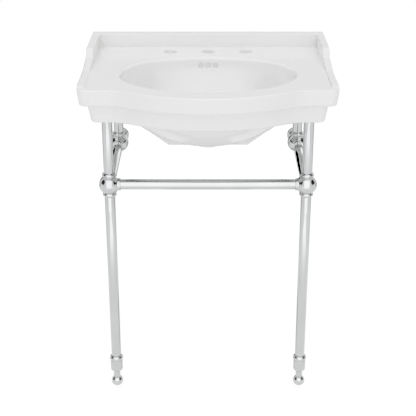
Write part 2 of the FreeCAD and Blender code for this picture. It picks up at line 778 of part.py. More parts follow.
keep(place(make_basin(), "0", "0", "deck_height"))
rail_start = "-%s + %s" % (LEG, TUBE_START)
keep(tube("front_cross_rail", "-2 * (%s)" % rail_start, rail_start, FRONT_LEG, "joint_height", ALONG_X))
for side, sign in SIDES:
    make_stand(side, sign)
    make_foot(side, sign)
grubs = doc.addObject("Part::Compound", "grub_screws")
grubs.Links = screws
keep(named(grubs, "grub_screws"))
doc.recompute()

for item in doc.Objects:
    if {"Invalid", "Error"} & set(item.State):
        raise RuntimeError("%s is %s" % (item.Label, item.State))
os.makedirs(NODES_FOLDER, exist_ok=True)
for item in nodes:
    shape = item.Shape
    if shape.isNull() or not shape.isValid() or not shape.Solids:
        raise RuntimeError("%s has no valid solid" % item.Label)
    shape.exportStep(os.path.join(NODES_FOLDER, item.Label + ".step"))
    print("%-26s %2d solid(s) %10.1f mm3" % (item.Label, len(shape.Solids), shape.Volume))
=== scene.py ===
# %% [markdown]
# # A console sink with legs
#
# The real object is one white glazed casting on a stand of chromed tube: two front legs with ball feet, a
# rail between them, two side rails back to the wall, and turned joints where the tubes meet. This lesson
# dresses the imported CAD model. It is loaded first and stays as it is, because it holds every piece's place
# and the joints.

# %% Load the frame
import json
import math
import bpy
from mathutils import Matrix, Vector

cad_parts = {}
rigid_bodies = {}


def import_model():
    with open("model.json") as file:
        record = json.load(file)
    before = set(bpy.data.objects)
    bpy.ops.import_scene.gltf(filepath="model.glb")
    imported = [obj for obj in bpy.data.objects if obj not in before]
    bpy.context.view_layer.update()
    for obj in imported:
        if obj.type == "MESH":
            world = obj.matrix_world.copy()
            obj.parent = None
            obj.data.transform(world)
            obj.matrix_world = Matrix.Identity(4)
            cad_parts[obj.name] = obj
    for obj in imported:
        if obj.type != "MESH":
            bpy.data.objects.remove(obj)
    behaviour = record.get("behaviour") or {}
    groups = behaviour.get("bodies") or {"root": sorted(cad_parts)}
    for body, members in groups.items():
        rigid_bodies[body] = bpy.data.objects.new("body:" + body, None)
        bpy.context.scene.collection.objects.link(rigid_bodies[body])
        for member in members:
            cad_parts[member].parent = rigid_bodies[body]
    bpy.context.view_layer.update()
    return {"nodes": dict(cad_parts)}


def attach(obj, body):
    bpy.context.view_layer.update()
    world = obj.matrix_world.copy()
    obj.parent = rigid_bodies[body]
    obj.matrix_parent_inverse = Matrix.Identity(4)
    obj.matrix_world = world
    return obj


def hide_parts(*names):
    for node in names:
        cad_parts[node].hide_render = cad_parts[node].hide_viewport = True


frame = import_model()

# %% [markdown]
# ## Sizes
#
# Every size is written once, in millimetres, as on a workshop drawing, and turned into metres where a piece
# is made. The feet stand at Z = 0, the wall is at positive Y and the user stands at negative Y.

# %% Sizes in millimetres
MM = 0.001
DECK = 865.0
WALL = 254.0
LEG = 251.0
FRONT_LEG = WALL - 382.0
REAR_POST = WALL - 65.0
RAIL = 598.5
TUBE, TUBE_BORE = 13.0, 11.5
SOCKET, SOCKET_BORE = 15.5, 13.05
BALL = 26.0
TUBE_START = 15.2
TUBE_TOP = DECK - 26.0
LEG_END = 66.0
print("the tubes' tops stand at", TUBE_TOP, "mm")

# %% [markdown]
# ## Working like a hand in the viewport
#
# Operators act on what is selected. Loading the frame leaves its nodes selected, so everything is
# deselected before a new piece is started. These small helpers do that, apply a modifier, and pick parts of
# a mesh by a test, which takes the place of clicking on them.

# %% Helpers for selecting and applying
def clear_selection():
    """Object mode with nothing selected."""
    if bpy.context.object and bpy.context.object.mode != "OBJECT":
        bpy.ops.object.mode_set(mode="OBJECT")
    bpy.ops.object.select_all(action="DESELECT")


def take(piece):
    """Makes one piece the only selected and active object."""
    clear_selection()
    piece.select_set(True)
    bpy.context.view_layer.objects.active = piece
    return piece


def pick(piece, kind, test):
    """In edit mode, selects only the faces, edges or vertices that pass a test, and gives their number."""
    bpy.ops.mesh.select_mode(type={"polygons": "FACE", "edges": "EDGE", "vertices": "VERT"}[kind])
    bpy.ops.mesh.select_all(action="DESELECT")
    bpy.ops.object.mode_set(mode="OBJECT")
    chosen = [part for part in getattr(piece.data, kind) if test(part)]
    for part in chosen:
        part.select = True
    bpy.ops.object.mode_set(mode="EDIT")
    return len(chosen)


def apply_modifier(piece, kind, **settings):
    """Adds a modifier with these settings and applies it."""
    take(piece)
    bpy.ops.object.modifier_add(type=kind)
    modifier = piece.modifiers[-1]
    for name, value in settings.items():
        setattr(modifier, name, value)
    bpy.ops.object.modifier_apply(modifier=modifier.name)


def settle(piece, soft_angle=35):
    """Puts a piece's place into its mesh and shades it smooth up to an angle."""
    take(piece)
    bpy.ops.object.transform_apply(location=True, rotation=True, scale=True)
    bpy.ops.object.shade_smooth_by_angle(angle=math.radians(soft_angle))
    return piece


clear_selection()
print("nothing is selected:", not bpy.context.selected_objects)

# %% [markdown]
# ## The camera
#
# The photograph was taken from standing height, straight in front, looking down 23.4 degrees with a long
# lens. The two front legs draw together towards the bottom of the picture, and the sides of the basin
# towards the top; those two vanishing points give the angle and the lens. The picture is square, so 36 mm
# of sensor spans it.

# %% Camera
CAMERA_BACK, CAMERA_HIGH, LOOK_DOWN, LENS = 2.574, 1.5926, 23.425, 89.68
bpy.ops.object.camera_add(location=(0, -CAMERA_BACK, CAMERA_HIGH),
                          rotation=(math.radians(90 - LOOK_DOWN), 0, 0))
camera = bpy.context.object
camera.name = "photo_camera"
camera.data.lens = LENS
camera.data.sensor_width = 36
camera.data.clip_end = 60
bpy.context.scene.camera = camera
print("camera at", tuple(camera.location), "lens", LENS, "mm")

# %% [markdown]
# ## Turned pieces
#
# Joints, beads, ferrules, roses and ball feet are turned on a lathe from brass bar, then plated. A lathe is
# easy to follow: one vertex is extruded along half the section, and the line is spun about the upright
# axis. An outline could also be lofted or subdivided from a cylinder, but only the spun line keeps each
# bead's true radius. Curved stretches come from `bulge`, which swells to the right of the way the line
# runs, as a lathe hand's radius gauge would check it.

# %% The lathe
STEPS = 96


def bulge(start, end, radius, count=10):
    """Points of an arc after its start. It swells to the right, or to the left if the radius is negative."""
    (x0, y0), (x1, y1) = start, end
    chord = math.hypot(x1 - x0, y1 - y0)
    side = 1 if radius > 0 else -1
    rise = math.sqrt(radius ** 2 - chord ** 2 / 4)
    across = ((y1 - y0) / chord, -(x1 - x0) / chord)
    middle = ((x0 + x1) / 2 - side * rise * across[0], (y0 + y1) / 2 - side * rise * across[1])
    first = math.atan2(y0 - middle[1], x0 - middle[0])
    sweep = math.atan2(y1 - middle[1], x1 - middle[0]) - first
    sweep = (sweep + math.pi) % (2 * math.pi) - math.pi
    angles = [first + sweep * step / count for step in range(1, count + 1)]
    return [(middle[0] + abs(radius) * math.cos(a), middle[1] + abs(radius) * math.sin(a)) for a in angles]


def turned(name, outline, steps=STEPS):
    """Spins half a section, given as (radius, height) in millimetres, about the upright axis."""
    clear_selection()
    bpy.ops.mesh.primitive_plane_add(size=MM, location=(0, 0, 0))
    piece = bpy.context.object
    piece.name = name
    bpy.ops.object.mode_set(mode="EDIT")
    bpy.ops.mesh.select_mode(type="VERT")
    bpy.ops.mesh.merge(type="CENTER")
    bpy.ops.transform.translate(value=(outline[0][0] * MM, 0, outline[0][1] * MM))
    for (r0, z0), (r1, z1) in zip(outline, outline[1:]):
        step = ((r1 - r0) * MM, 0, (z1 - z0) * MM)
        bpy.ops.mesh.extrude_vertices_move(TRANSFORM_OT_translate={"value": step})
    bpy.ops.mesh.select_all(action="SELECT")
    bpy.ops.mesh.spin(steps=steps, angle=2 * math.pi, center=(0, 0, 0), axis=(0, 0, 1))
    bpy.ops.mesh.select_all(action="SELECT")
    bpy.ops.mesh.remove_doubles(threshold=1e-6)
    bpy.ops.mesh.normals_make_consistent(inside=False)
    bpy.ops.object.mode_set(mode="OBJECT")
    return piece


def moved(piece, where, turn=(0, 0, 0)):
    """Turns a piece by degrees about X, Y and Z, puts it at a place in millimetres, and settles it."""
    piece.rotation_euler = [math.radians(angle) for angle in turn]
    piece.location = Vector(where) * MM
    return settle(piece)


def copied(piece, name, mirror=False):
    """A copy with its own mesh, mirrored from left to right if asked."""
    take(piece)
    bpy.ops.object.duplicate(linked=False)
    twin = bpy.context.object
    twin.name = name
    if mirror:
        twin.scale.x = -1
        bpy.ops.object.transform_apply(location=False, rotation=False, scale=True)
        bpy.ops.object.mode_set(mode="EDIT")
        bpy.ops.mesh.select_all(action="SELECT")
        bpy.ops.mesh.normals_make_consistent(inside=False)
        bpy.ops.object.mode_set(mode="OBJECT")
    return twin


print("a test arc:", [tuple(round(v, 2) for v in p) for p in bulge((15.5, 22), (15.5, 31), 5.5, 3)])

# %% [markdown]
# ## Tubes
#
# The stand is 26 mm brass tube with a 1.5 mm wall. A tube is drawn as a cylinder at its size and place.
# Both ends are inset by the wall's thickness, the two inner discs are bridged to open the bore, and the
# rims get a small bevel, which is what a deburred end looks like.

# %% Tubes
def tube(name, start, end):
    """A hollow tube between two points in millimetres."""
    clear_selection()
    start, end = Vector(start), Vector(end)
    run = end - start
    turn = run.to_track_quat("Z", "Y").to_euler()
    bpy.ops.mesh.primitive_cylinder_add(vertices=STEPS, radius=TUBE * MM, depth=run.length * MM,
                                        location=(start + end) / 2 * MM, rotation=turn)
    piece = bpy.context.object
    piece.name = name
    bpy.ops.object.mode_set(mode="EDIT")
    pick(piece, "polygons", lambda face: abs(face.normal.z) > 0.9)
    bpy.ops.mesh.inset(thickness=(TUBE - TUBE_BORE) * MM)
    bpy.ops.mesh.bridge_edge_loops()
    rims = pick(piece, "edges", lambda edge: on_rim(piece, edge, run.length * MM / 2))
    bpy.ops.mesh.bevel(offset=0.4 * MM, segments=2, affect="EDGES")
    bpy.ops.mesh.select_all(action="SELECT")
    bpy.ops.mesh.normals_make_consistent(inside=False)
    bpy.ops.object.mode_set(mode="OBJECT")
    settle(piece)
    print(name, "is", round(run.length, 1), "mm long, with", rims, "rim edges bevelled")
    return piece


def on_rim(piece, edge, half_length):
    """True for the outer edge of a tube's end face."""
    ends = [piece.data.vertices[index].co for index in edge.vertices]
    at_end = all(abs(abs(co.z) - half_length) < 1e-6 for co in ends)
    outside = all(abs(math.hypot(co.x, co.y) - TUBE * MM) < 1e-6 for co in ends)
    return at_end and outside


SIDES = (("left", -1), ("right", 1))
stand = {"front_cross_rail": tube("front_cross_rail_tube", (-LEG + TUBE_START, FRONT_LEG, RAIL),
                                  (LEG - TUBE_START, FRONT_LEG, RAIL))}
for side, sign in SIDES:
    x = sign * LEG
    runs = {
        "front_upper_tube": ((x, FRONT_LEG, RAIL + TUBE_START), (x, FRONT_LEG, TUBE_TOP)),
        "front_lower_tube": ((x, FRONT_LEG, LEG_END), (x, FRONT_LEG, RAIL - TUBE_START)),
        "rear_post": ((x, REAR_POST, RAIL + TUBE_START), (x, REAR_POST, TUBE_TOP)),
        "side_rail": ((x, FRONT_LEG + TUBE_START, RAIL), (x, REAR_POST - TUBE_START, RAIL)),
        "wall_stub": ((x, REAR_POST + TUBE_START, RAIL), (x, WALL - 4, RAIL)),
    }
    for node, (start, end) in runs.items():
        stand["%s_%s" % (node, side)] = tube("%s_tube_%s" % (node, side), start, end)

# %% [markdown]
# ## Ball joints
#
# Each joint is a ball with a beaded socket above and below, and plain sockets for the rails. It is turned,
# the rail sockets are joined on, and then the bores and the set screws' holes are drilled, in the order a
# workshop takes. Drilling is a boolean difference, because overlapping shells would leave the tubes' ends
# inside solid metal.

# %% Turned body and sockets
def joint_body(name, lower_socket):
    """The ball with its beaded sockets."""
    meet = math.sqrt(BALL ** 2 - SOCKET ** 2)
    top = [(SOCKET, meet), (SOCKET, 22.0)] + bulge((SOCKET, 22.0), (SOCKET, 30.7), 5.5, 12)
    top += bulge((SOCKET, 30.7), (15.1, 31.0), 0.6, 3) + [(0, 31.0)]
    if lower_socket:
        bottom = [(r, -z) for r, z in reversed(top)]
        outline = bottom + bulge(bottom[-1], (SOCKET, meet), BALL, 40) + top[1:]
    else:
        outline = [(0, -BALL)] + bulge((0, -BALL), (SOCKET, meet), BALL, 48) + top[1:]
    return turned(name, outline)


def rail_socket(name):
    """A plain socket for a rail, with a softened end and a fine line before it."""
    line = [(SOCKET, 24.6), (15.25, 24.9), (15.25, 25.3), (SOCKET, 25.6)]
    outline = [(0, 6), (SOCKET, 6)] + line + [(SOCKET, 27.4)]
    outline += bulge((SOCKET, 27.4), (14.9, 28.0), 0.6, 3) + [(0, 28.0)]
    return turned(name, outline, 64)


def drill(name, radius, start, end):
    """A drill along the upright axis, from one height to another."""
    return turned(name, [(0, start), (radius, start), (radius, end), (0, end)], 64)


def combine(piece, tools, operation):
    """Joins tools on or cuts them away, and removes them."""
    for tool in tools:
        apply_modifier(piece, "BOOLEAN", operation=operation, solver="EXACT", object=tool)
        take(tool)
        bpy.ops.object.delete()
    return piece


TURNS = {"up": (0, 0, 0), "down": (180, 0, 0), "right": (0, 90, 0), "wall": (-90, 0, 0), "user": (90, 0, 0)}
TOWARDS = {"right": Vector((1, 0, 0)), "wall": Vector((0, 1, 0)), "user": Vector((0, -1, 0))}
SCREW_RADIUS, SCREW_START, SCREW_END = 2.05, 12.6, 20.0
UPRIGHT_SCREW, RAIL_SCREW = 26.5, 25.0


def screw_hole(where, way):
    """A drill for a set screw's hole, from the bore outwards, at a place in millimetres."""
    return moved(drill("tap", SCREW_RADIUS, SCREW_START, SCREW_END), where, TURNS[way])


def ball_joint(name, upright, rails):
    """A ball joint at the origin, with bores and set screw holes."""
    body = joint_body(name, "down" in upright)
    combine(body, [moved(rail_socket("socket"), (0, 0, 0), TURNS[way]) for way in rails], "UNION")
    bores = [moved(drill("bore", SOCKET_BORE, 15, 36), (0, 0, 0), TURNS[way]) for way in upright + rails]
    combine(body, bores, "DIFFERENCE")
    holes = [screw_hole((0, 0, UPRIGHT_SCREW if way == "up" else -UPRIGHT_SCREW), "wall") for way in upright]
    holes += [screw_hole(TOWARDS[way] * RAIL_SCREW, "down") for way in rails]
    combine(body, holes, "DIFFERENCE")
    settle(body, 30)
    print(name, "has", len(body.data.polygons), "faces after drilling")
    return body


front_left = ball_joint("front_ball_joint_turning_left", ["up", "down"], ["right", "wall"])
rear_left = ball_joint("rear_ball_joint_turning_left", ["up"], ["user", "wall"])
joints = (("front_ball_joint", front_left, FRONT_LEG), ("rear_ball_joint", rear_left, REAR_POST))
for node, joint, along in joints:
    twin = copied(joint, node + "_turning_right", mirror=True)
    stand[node + "_left"] = moved(joint, (-LEG, along, RAIL))
    stand[node + "_right"] = moved(twin, (LEG, along, RAIL))

# %% [markdown]
# ## Wall roses
#
# A stepped, domed rose covers the anchor plate on the wall and grips the stub. It is another lathe outline,
# from the wall outwards: a flat edge, a first rounded step, a dome up to the collar, and the collar's bore.

# %% Wall roses
ANCHOR_ROOM, ROSE_SCREW = 17.3, 14.5


def wall_rose(name):
    """A rose with its back at height 0 and its collar above."""
    outline = [(ANCHOR_ROOM, 0), (22.7, 0)] + bulge((22.7, 0), (23, 0.3), 0.4, 2) + [(23, 2.5)]
    outline += bulge((23, 2.5), (19.5, 5), 5, 8) + bulge((19.5, 5), (SOCKET, 12), 9, 10) + [(SOCKET, 16.5)]
    outline += bulge((SOCKET, 16.5), (15.0, 17), 0.6, 3)
    outline += [(SOCKET_BORE, 17), (SOCKET_BORE, 7.3), (ANCHOR_ROOM, 4.3), (ANCHOR_ROOM, 0)]
    rose = turned(name, outline)
    combine(rose, [screw_hole((0, 0, ROSE_SCREW), "user")], "DIFFERENCE")
    return settle(rose, 30)


left_rose = wall_rose("wall_rose_left")
right_rose = copied(left_rose, "wall_rose_right")
stand["wall_flange_left"] = moved(left_rose, (-LEG, WALL, RAIL), TURNS["user"])
stand["wall_flange_right"] = moved(right_rose, (LEG, WALL, RAIL), TURNS["user"])
reach = max(vertex.co.y for vertex in right_rose.data.vertices) / MM
print("the roses reach", round(reach, 2), "mm, the wall is at", WALL)

# %% [markdown]
# ## Feet
#
# A beaded ferrule closes the lower end of each leg. Under it, a neck and a ball level the sink: the neck's
# stud runs in a thread in the leg. The stud shows when the foot is screwed out, so its thread is real: one
# pitch of the ridge is drawn as a short line and wound up the stud with the Screw modifier, which is
# quicker and more regular than a cut helix.

# %% Ferrules and ball feet
FERRULE_LOW, FERRULE_TOP, FERRULE_SCREW = 47.0, 95.0, 78.0
NECK_BORE = 9.5


def ferrule(name):
    """The turned end of a leg, at its own height above the floor."""
    outline = [(NECK_BORE, FERRULE_LOW), (10.2, FERRULE_LOW)]
    outline += bulge((10.2, FERRULE_LOW), (16.5, 55.5), 8.6, 10) + [(16.5, 81.4), (16.2, 81.8), (16.2, 82.2)]
    outline += bulge((16.2, 82.2), (14.05, FERRULE_TOP), 9, 16) + [(SOCKET_BORE, FERRULE_TOP)]
    outline += [(SOCKET_BORE, LEG_END), (NECK_BORE, LEG_END), (NECK_BORE, FERRULE_LOW)]
    piece = turned(name, outline)
    combine(piece, [screw_hole((0, 0, FERRULE_SCREW), "wall")], "DIFFERENCE")
    return settle(piece, 30)


FOOT, SPIGOT_DEPTH = 15.75, 16.0
FOOT_MIDDLE = math.sqrt(FOOT ** 2 - 6 ** 2)
FACET = FOOT_MIDDLE + math.sqrt(FOOT ** 2 - 9.3 ** 2)


def foot_ball(name):
    """The ball on the floor, with the pocket in which the neck's spigot turns."""
    outline = [(0, 0), (5.7, 0), (6.1, 0.1)] + bulge((6.1, 0.1), (9.3, FACET), FOOT, 36)[1:]
    outline += [(5.05, FACET), (5.05, FACET - SPIGOT_DEPTH), (0, FACET - SPIGOT_DEPTH)]
    return settle(turned(name, outline), 30)


left_ferrule, left_ball = ferrule("leg_ferrule_turning_left"), foot_ball("foot_ball_turning_left")
stand["leg_ferrule_right"] = moved(copied(left_ferrule, "leg_ferrule_turning_right"), (LEG, FRONT_LEG, 0))
stand["leg_ferrule_left"] = moved(left_ferrule, (-LEG, FRONT_LEG, 0))
feet = {"foot_ball_right": moved(copied(left_ball, "foot_ball_turning_right"), (LEG, FRONT_LEG, 0)),
        "foot_ball_left": moved(left_ball, (-LEG, FRONT_LEG, 0))}
print("ball foot", 2 * FOOT, "mm across, its facet", round(FACET, 2), "mm above the floor")

# %% [markdown]
# The stem is the neck with a spigot below and the threaded stud above. The neck is turned; the thread is
# wound.

# %% Stems with their thread
PITCH, CREST, ROOT = 1.5, 4.95, 4.1
SPIGOT, NECK_TOP, STUD_TOP = 5.0, 49.0, 105.0


def thread(name, low, high):
    """A threaded stud between two heights, closed at both ends."""
    clear_selection()
    bpy.ops.mesh.primitive_plane_add(size=MM, location=(0, 0, 0))
    piece = bpy.context.object
    piece.name = name
    bpy.ops.object.mode_set(mode="EDIT")
    bpy.ops.mesh.select_mode(type="VERT")
    bpy.ops.mesh.merge(type="CENTER")
    bpy.ops.transform.translate(value=(ROOT * MM, 0, low * MM))
    for across, up in ((0, 0.19), (CREST - ROOT, 0.46), (0, 0.19), (ROOT - CREST, 0.66)):
        step = (across * MM, 0, up * MM)
        bpy.ops.mesh.extrude_vertices_move(TRANSFORM_OT_translate={"value": step})
    bpy.ops.object.mode_set(mode="OBJECT")
    turns = int((high - low) / PITCH) - 1
    apply_modifier(piece, "SCREW", angle=2 * math.pi, screw_offset=PITCH * MM, iterations=turns, steps=32,
                   render_steps=32, use_merge_vertices=True, merge_threshold=1e-6)
    bpy.ops.object.mode_set(mode="EDIT")
    bpy.ops.mesh.select_all(action="SELECT")
    bpy.ops.mesh.remove_doubles(threshold=1e-6)
    bpy.ops.mesh.select_all(action="DESELECT")
    bpy.ops.mesh.select_mode(type="EDGE")
    bpy.ops.mesh.select_non_manifold()
    bpy.ops.mesh.edge_face_add()
    bpy.ops.mesh.select_all(action="SELECT")
    bpy.ops.mesh.normals_make_consistent(inside=False)
    bpy.ops.object.mode_set(mode="OBJECT")
    return piece


def stem(name):
    """Spigot, neck and threaded stud in one piece."""
    base = FACET + 0.3
    outline = [(0, base - SPIGOT_DEPTH), (SPIGOT, base - SPIGOT_DEPTH), (SPIGOT, base), (8.7, base)]
    outline += [(9, base + 0.3), (9, NECK_TOP - 0.4), (8.6, NECK_TOP), (ROOT, NECK_TOP)]
    outline += [(ROOT, STUD_TOP), (0, STUD_TOP)]
    neck = turned(name, outline, 64)
    stud = thread("stud", NECK_TOP + 0.2, STUD_TOP - 0.6)
    take(neck)
    stud.select_set(True)
    bpy.ops.object.join()
    return settle(neck, 30)


left_stem = stem("foot_stem_turning_left")
feet["foot_stem_right"] = moved(copied(left_stem, "foot_stem_turning_right"), (LEG, FRONT_LEG, 0))
feet["foot_stem_left"] = moved(left_stem, (-LEG, FRONT_LEG, 0))
print("each stem has", len(left_stem.data.polygons), "faces")

# %% [markdown]
# ## The basin
#
# The basin is a casting: its edges were softened in the mould and again by the glaze that ran over them. It
# could be rebuilt from a plane by hand, but the two-tier apron, the swept splashes, the bowl and the
# overflow follow curves that the CAD solid already holds exactly. So a copy of that mesh is taken, its
# triangles are merged, and its flats are dissolved into whole faces, which gives clean edges to bevel. The
# passage behind the overflow holes can't be seen into; a block closes it a few millimetres in, so that the
# holes show the pale floors of the real ones.

# %% Basin: a copy with clean flats
OVERFLOW_DROP, OVERFLOW_FLOOR, HEADER_BACK = 23.0, 121.0, 146.0
HEADER_LENGTH, HEADER_DEPTH = 60.0, 19.0


def casting_copy(name, node):
    """A copy of a CAD node of its own, with its triangles merged."""
    take(frame["nodes"][node])
    bpy.ops.object.duplicate(linked=False)
    piece = bpy.context.object
    piece.name = name
    bpy.ops.object.parent_clear(type="CLEAR_KEEP_TRANSFORM")
    for key in list(piece.keys()):
        del piece[key]
    bpy.ops.object.mode_set(mode="EDIT")
    bpy.ops.mesh.select_all(action="SELECT")
    bpy.ops.mesh.remove_doubles(threshold=1e-5)
    bpy.ops.mesh.customdata_custom_splitnormals_clear()
    bpy.ops.object.mode_set(mode="OBJECT")
    return piece


basin = casting_copy("basin_casting", "basin")
clear_selection()
block = Vector((HEADER_LENGTH, HEADER_BACK - OVERFLOW_FLOOR, HEADER_DEPTH))
middle = Vector((0, (HEADER_BACK + OVERFLOW_FLOOR) / 2, DECK - OVERFLOW_DROP))
bpy.ops.mesh.primitive_cube_add(size=1, scale=block * MM, location=middle * MM)
combine(basin, [bpy.context.object], "UNION")
take(basin)
bpy.ops.object.mode_set(mode="EDIT")
bpy.ops.mesh.select_all(action="SELECT")
bpy.ops.mesh.dissolve_limited(angle_limit=math.radians(0.4))
bpy.ops.object.mode_set(mode="OBJECT")
print("the casting has", len(basin.data.polygons), "faces")

# %% [markdown]
# The edges get bevels of their own widths: the hollow corners where the splashes stand on the deck, the
# splashes' tops, the rims of the faucet and overflow holes, and the rib and the drain boss below. Each kind
# is found by its sharpness and its place. A voxel remesh with smoothing would round them all in one go, but
# it takes three times as long, and slanted edges come out a little wavy unless the voxels are very small.

# %% Basin: soft edges
FAUCET_Y, FAUCET_PITCH, FAUCET_RADIUS = WALL - 82.0, 101.6, 17.45
SPLASH_X, SPLASH_Y = 299.0, WALL - 27.0
DRAIN_Y, DRAIN_RIM, RIB_FOOT = WALL - 278.0, 26.0, DECK - 189.0
NEAR = 0.3


def soften(piece, width, segments, test, sharpness=25):
    """Bevels the sharp edges whose two ends pass a test, in millimetres."""
    take(piece)
    bpy.ops.object.mode_set(mode="EDIT")
    bpy.ops.mesh.select_mode(type="EDGE")
    bpy.ops.mesh.select_all(action="DESELECT")
    bpy.ops.mesh.edges_select_sharp(sharpness=math.radians(sharpness))
    bpy.ops.object.mode_set(mode="OBJECT")
    spots = piece.data.vertices
    sharp = {edge.index for edge in piece.data.edges
             if edge.select and all(test(*(spots[index].co / MM)) for index in edge.vertices)}
    bpy.ops.object.mode_set(mode="EDIT")
    count = pick(piece, "edges", lambda edge: edge.index in sharp)
    bpy.ops.mesh.bevel(offset=width * MM, segments=segments, affect="EDGES", clamp_overlap=False)
    bpy.ops.object.mode_set(mode="OBJECT")
    print(count, "edges softened by", width, "mm")


def on_splash(x, y, z):
    """The edges of the splashes' tops, except the one on the wall."""
    return z > DECK + 3.5 and y < WALL - 1


def on_junction(x, y, z):
    """The hollow corners between the splashes and the deck."""
    return abs(z - DECK) < NEAR and (abs(abs(x) - SPLASH_X) < NEAR or abs(y - SPLASH_Y) < NEAR)


def on_faucet_rim(x, y, z):
    """The rims of the faucet holes."""
    nearest = round(x / FAUCET_PITCH) * FAUCET_PITCH
    return abs(z - DECK) < NEAR and abs(math.hypot(x - nearest, y - FAUCET_Y) - FAUCET_RADIUS) < 0.5


def on_overflow_rim(x, y, z):
    """The rims of the overflow holes, in front of their floors."""
    return abs(x) < 28 and abs(z - DECK + OVERFLOW_DROP) < 9 and 112 < y < OVERFLOW_FLOOR - 1.5


def under_bowl(x, y, z):
    """The rib's lower edges and the outside of the drain boss."""
    return z < RIB_FOOT and math.hypot(x, y - DRAIN_Y) > DRAIN_RIM


soften(basin, 2.6, 5, on_splash)
soften(basin, 1.3, 4, on_junction)
soften(basin, 1.2, 4, on_faucet_rim)
soften(basin, 1.0, 4, on_overflow_rim)
soften(basin, 1.5, 4, under_bowl)
take(basin)
bpy.ops.object.shade_smooth_by_angle(angle=math.radians(32))
apply_modifier(basin, "WEIGHTED_NORMAL", keep_sharp=True)
stand["basin"] = basin
print("the basin has", len(basin.data.polygons), "faces")

# %% [markdown]
# ## Each piece takes its CAD node's place
#
# A new piece hides the node it stands for and rides on the same body, so that the feet still turn and
# slide.

# %% Riding on the bodies
for node, piece in {**stand, **feet}.items():
    body = {"foot_ball": "foot", "foot_stem": "stem"}.get(node.rsplit("_", 1)[0])
    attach(piece, "%s_%s" % (node.rsplit("_", 1)[1], body) if body else "sink")
    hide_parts(node)
    "china" if node == "basin" else "chrome"
print(len(stand) + len(feet), "new pieces ride on the bodies")

# %% [markdown]
# ## Shader maths
#
# A finish is a small sum of patterns. The class below wraps one output of a node tree, so that a sum or a
# product written in Python adds the Math nodes by itself, and `node` adds any other kind. `above` is a soft
# step. Colours go through Mix nodes, because a Math node turns a colour grey.

# %% One class for shader expressions
class Signal:
    """A value that varies over a surface. Arithmetic on it adds Math nodes to its tree."""

    def __init__(self, tree, socket=None):
        self.tree = tree
        self.socket = socket

    def node(self, kind, settings=None, inputs=None, output=0):
        """Adds a node: its settings first, then the values or links of its sockets."""
        made = self.tree.nodes.new(kind)
        for name, value in (settings or {}).items():
            if name == "stops":
                for element, (position, colour) in zip(made.color_ramp.elements, value):
                    element.position, element.color = position, colour
            else:
                setattr(made, name, value)
        for key, value in (inputs or {}).items():
            if isinstance(value, Signal):
                self.tree.links.new(value.socket, made.inputs[key])
            else:
                made.inputs[key].default_value = value
        return Signal(self.tree, made.outputs[output])

    def maths(self, operation, *values):
        return self.node("ShaderNodeMath", {"operation": operation}, dict(enumerate(values)))

    def __add__(self, other):
        return self.maths("ADD", self, other)

    __radd__ = __add__

    def __mul__(self, other):
        return self.maths("MULTIPLY", self, other)

    __rmul__ = __mul__

    def __sub__(self, other):
        return self.maths("SUBTRACT", self, other)

    def __rsub__(self, other):
        return self.maths("SUBTRACT", other, self)

    def above(self, edge, width):
        """0 below an edge and 1 above it, over a soft width."""
        return self.node("ShaderNodeMapRange", {"interpolation_type": "SMOOTHSTEP"},
                         {0: self, 1: edge - width / 2, 2: edge + width / 2, 3: 0.0, 4: 1.0})


def blended(mask, low, high):
    """A colour between two, by a mask."""
    return mask.node("ShaderNodeMix", {"data_type": "RGBA"}, {0: mask, 6: low, 7: high}, output=2)


def finish_start(name):
    """A new material, its Principled shader, and the object's own coordinates."""
    material = bpy.data.materials.new(name)
    material.use_nodes = True
    tree = material.node_tree
    shader = tree.nodes["Principled BSDF"]
    place = Signal(tree).node("ShaderNodeTexCoord", output=3)
    return material, shader, place


def noise(place, scale, detail=2.0, stretch=None):
    """Fine noise on the object's own coordinates, drawn out along an axis if asked."""
    if stretch:
        place = place.node("ShaderNodeMapping", {}, {0: place, 3: stretch})
    return place.node("ShaderNodeTexNoise", {}, {"Vector": place, "Scale": scale, "Detail": detail})


def connect(shader, socket, signal):
    signal.tree.links.new(signal.socket, shader.inputs[socket])


def bumped(shader, height, distance, strength=1.0):
    """A Bump node between a height and the shader's normal."""
    connect(shader, "Normal", height.node("ShaderNodeBump", {},
                                          {"Height": height, "Distance": distance, "Strength": strength}))


print("Signal wraps", Signal.__name__)

# %% [markdown]
# ## White glaze
#
# The glaze is a clear glass over white clay: a bright, faintly uneven white with a sharp gloss. Three
# things keep it from looking like paint. Its gloss wavers very slightly, its thickness varies over a few
# centimetres, and the flat back, which stands against the wall, has no glaze: bare clay, warm and matt.

# %% China
china, shader, place = finish_start("white_glaze")
axes = place.node("ShaderNodeSeparateXYZ", {}, {0: place}, output=1)
bare = axes.above(WALL * MM - 0.0006, 0.0006)
pooling = noise(place, 14.0, 3.0)
speck = noise(place, 900.0, 1.0).above(0.78, 0.04)
glaze = blended(pooling, (0.94, 0.945, 0.942, 1), (0.96, 0.962, 0.957, 1))
glaze = blended(speck * 0.25, glaze, (0.80, 0.79, 0.76, 1))
clay = blended(noise(place, 220.0, 4.0), (0.74, 0.70, 0.62, 1), (0.82, 0.79, 0.72, 1))
connect(shader, "Base Color", blended(bare, glaze, clay))
connect(shader, "Roughness", 0.12 + 0.05 * pooling + 0.53 * bare)
connect(shader, "Coat Weight", 0.2 - 0.2 * bare)
shader.inputs["Coat Roughness"].default_value = 0.03
ripple = noise(place, 26.0, 2.0) * 0.7 + noise(place, 160.0, 2.0) * 0.04
ripple = ripple + bare * noise(place, 700.0, 3.0) * 0.7
bumped(shader, ripple, 0.00015)
basin.data.materials.clear()
basin.data.materials.append(china)
print("white glaze:", len(china.node_tree.nodes), "nodes")

